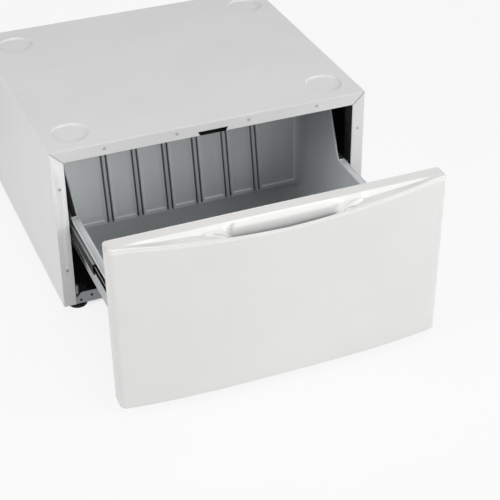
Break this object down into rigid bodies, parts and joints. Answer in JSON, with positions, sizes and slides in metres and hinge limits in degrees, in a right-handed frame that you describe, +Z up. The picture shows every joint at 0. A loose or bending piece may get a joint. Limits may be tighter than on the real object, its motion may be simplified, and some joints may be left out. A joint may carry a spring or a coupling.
{
  "type": "washer pedestal drawer",
  "caption": "Low steel pedestal for a laundry machine, with a bowed drawer front, a scooped finger grip, a ribbed grey bin on ball-bearing slides and levelling feet.",
  "frame": {"origin": "on the floor, midway between the sides, and midway between the foremost point of the open drawer and the back of the cabinet", "axes": "+X to the right for someone facing the drawer, +Y towards the back of the cabinet, +Z up; the drawer opens towards -Y"},
  "size_m": [0.686, 0.9848, 0.381],
  "materials": {
    "painted_white": "white enamel paint on sheet steel, semi-gloss",
    "cap_white": "white moulded plastic, glossy",
    "bin_grey": "silver-grey moulded plastic with a fine satin grain",
    "galvanised": "zinc-coated sheet steel, dull with a faint spangle",
    "slide_steel": "bright zinc-plated rolled steel",
    "zinc": "zinc-plated fasteners and ball cages",
    "black_plastic": "black moulded plastic",
    "rubber": "black rubber"
  },
  "bodies": {
    "cabinet": {"side_panel_left": "painted_white", "side_panel_right": "painted_white", "deck": "painted_white", "rear_panel": "galvanised", "front_post_left": "galvanised", "front_post_right": "galvanised", "rear_post_left": "galvanised", "rear_post_right": "galvanised", "front_brace": "galvanised", "rear_brace": "galvanised", "base_rail_left": "galvanised", "base_rail_right": "galvanised", "deck_rail_left": "galvanised", "deck_rail_right": "galvanised", "deck_channel_front": "galvanised", "deck_channel_rear": "galvanised", "rail_stiffener": "galvanised", "foot_plate_front_left": "galvanised", "foot_plate_front_right": "galvanised", "foot_plate_rear_left": "galvanised", "foot_plate_rear_right": "galvanised", "lock_nut_front_left": "zinc", "lock_nut_front_right": "zinc", "lock_nut_rear_left": "zinc", "lock_nut_rear_right": "zinc", "slide_outer_left": "slide_steel", "slide_outer_right": "slide_steel", "catch_magnet": "black_plastic"},
    "drawer": {"front_skin": "painted_white", "front_liner": "painted_white", "handle_cap": "cap_white", "bin": "bin_grey", "front_stiffener_left": "galvanised", "front_stiffener_right": "galvanised", "front_bracket_left": "galvanised", "front_bracket_right": "galvanised", "side_rail_left": "galvanised", "side_rail_right": "galvanised", "catch_tongue": "galvanised", "slide_inner_left": "slide_steel", "slide_inner_right": "slide_steel", "bracket_screw_lower_left": "zinc", "bracket_screw_lower_right": "zinc", "bracket_screw_upper_left": "zinc", "bracket_screw_upper_right": "zinc", "bumper_lower_left": "rubber", "bumper_lower_right": "rubber", "bumper_upper_left": "rubber", "bumper_upper_right": "rubber"},
    "middle_left": {"slide_middle_left": "slide_steel"},
    "outer_cage_left": {"ball_cage_outer_left": "zinc"},
    "inner_cage_left": {"ball_cage_inner_left": "zinc"},
    "middle_right": {"slide_middle_right": "slide_steel"},
    "outer_cage_right": {"ball_cage_outer_right": "zinc"},
    "inner_cage_right": {"ball_cage_inner_right": "zinc"},
    "foot_front_left": {"foot_front_left": "black_plastic"},
    "foot_front_right": {"foot_front_right": "black_plastic"},
    "foot_rear_left": {"foot_rear_left": "black_plastic"},
    "foot_rear_right": {"foot_rear_right": "black_plastic"}
  },
  "joints": [
    {"name": "drawer_slide", "type": "slide", "parent": "cabinet", "child": "drawer", "axis": [0, -1, 0], "range_m": [-0.3288, 0.1212]},
    {"name": "middle_left_slide", "type": "slide", "parent": "cabinet", "child": "middle_left", "axis": [0, -1, 0], "range_m": [-0.1644, 0.0606]},
    {"name": "outer_cage_left_slide", "type": "slide", "parent": "cabinet", "child": "outer_cage_left", "axis": [0, -1, 0], "range_m": [-0.0822, 0.0303]},
    {"name": "inner_cage_left_slide", "type": "slide", "parent": "cabinet", "child": "inner_cage_left", "axis": [0, -1, 0], "range_m": [-0.2466, 0.0909]},
    {"name": "middle_right_slide", "type": "slide", "parent": "cabinet", "child": "middle_right", "axis": [0, -1, 0], "range_m": [-0.1644, 0.0606]},
    {"name": "outer_cage_right_slide", "type": "slide", "parent": "cabinet", "child": "outer_cage_right", "axis": [0, -1, 0], "range_m": [-0.0822, 0.0303]},
    {"name": "inner_cage_right_slide", "type": "slide", "parent": "cabinet", "child": "inner_cage_right", "axis": [0, -1, 0], "range_m": [-0.2466, 0.0909]},
    {"name": "foot_front_left_turn", "type": "hinge", "parent": "cabinet", "child": "foot_front_left", "pos_m": [-0.3075, -0.08365, 0.02], "axis": [0, 0, 1], "continuous": true},
    {"name": "foot_front_right_turn", "type": "hinge", "parent": "cabinet", "child": "foot_front_right", "pos_m": [0.3075, -0.08365, 0.02], "axis": [0, 0, 1], "continuous": true},
    {"name": "foot_rear_left_turn", "type": "hinge", "parent": "cabinet", "child": "foot_rear_left", "pos_m": [-0.3075, 0.46835, 0.02], "axis": [0, 0, 1], "continuous": true},
    {"name": "foot_rear_right_turn", "type": "hinge", "parent": "cabinet", "child": "foot_rear_right", "pos_m": [0.3075, 0.46835, 0.02], "axis": [0, 0, 1], "continuous": true}
  ],
  "couplings": [
    {"joint": "middle_left_slide", "follows": "drawer_slide", "ratio": 0.5},
    {"joint": "outer_cage_left_slide", "follows": "drawer_slide", "ratio": 0.25},
    {"joint": "inner_cage_left_slide", "follows": "drawer_slide", "ratio": 0.75},
    {"joint": "middle_right_slide", "follows": "drawer_slide", "ratio": 0.5},
    {"joint": "outer_cage_right_slide", "follows": "drawer_slide", "ratio": 0.25},
    {"joint": "inner_cage_right_slide", "follows": "drawer_slide", "ratio": 0.75}
  ]
}
